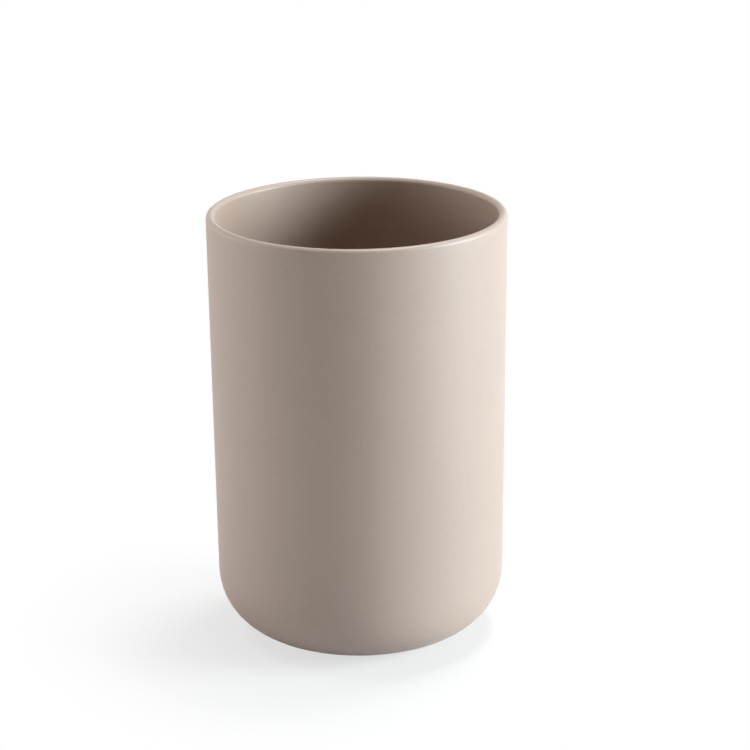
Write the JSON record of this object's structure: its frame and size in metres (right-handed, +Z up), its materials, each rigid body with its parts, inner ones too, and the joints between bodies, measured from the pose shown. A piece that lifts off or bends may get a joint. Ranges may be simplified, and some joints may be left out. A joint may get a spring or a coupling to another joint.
{
  "type": "bathroom tumbler",
  "caption": "Straight round bathroom tumbler, open at the top, with a full-round lip and a large rounded base corner, standing on a soft non-slip ring set in a groove.",
  "frame": {"origin": "centre of the ring's underside, on the surface that the tumbler stands on", "axes": "+Z up along the axis that the tumbler is round about; X and Y are alike"},
  "size_m": [0.075, 0.075, 0.11],
  "materials": {
    "cup_plastic": "satin matte, through-coloured warm grey beige",
    "foot_rubber": "matt, soft, a shade darker than the cup"
  },
  "bodies": {
    "root": {"tumbler_cup": "cup_plastic", "foot_ring": "foot_rubber"}
  },
  "joints": []
}
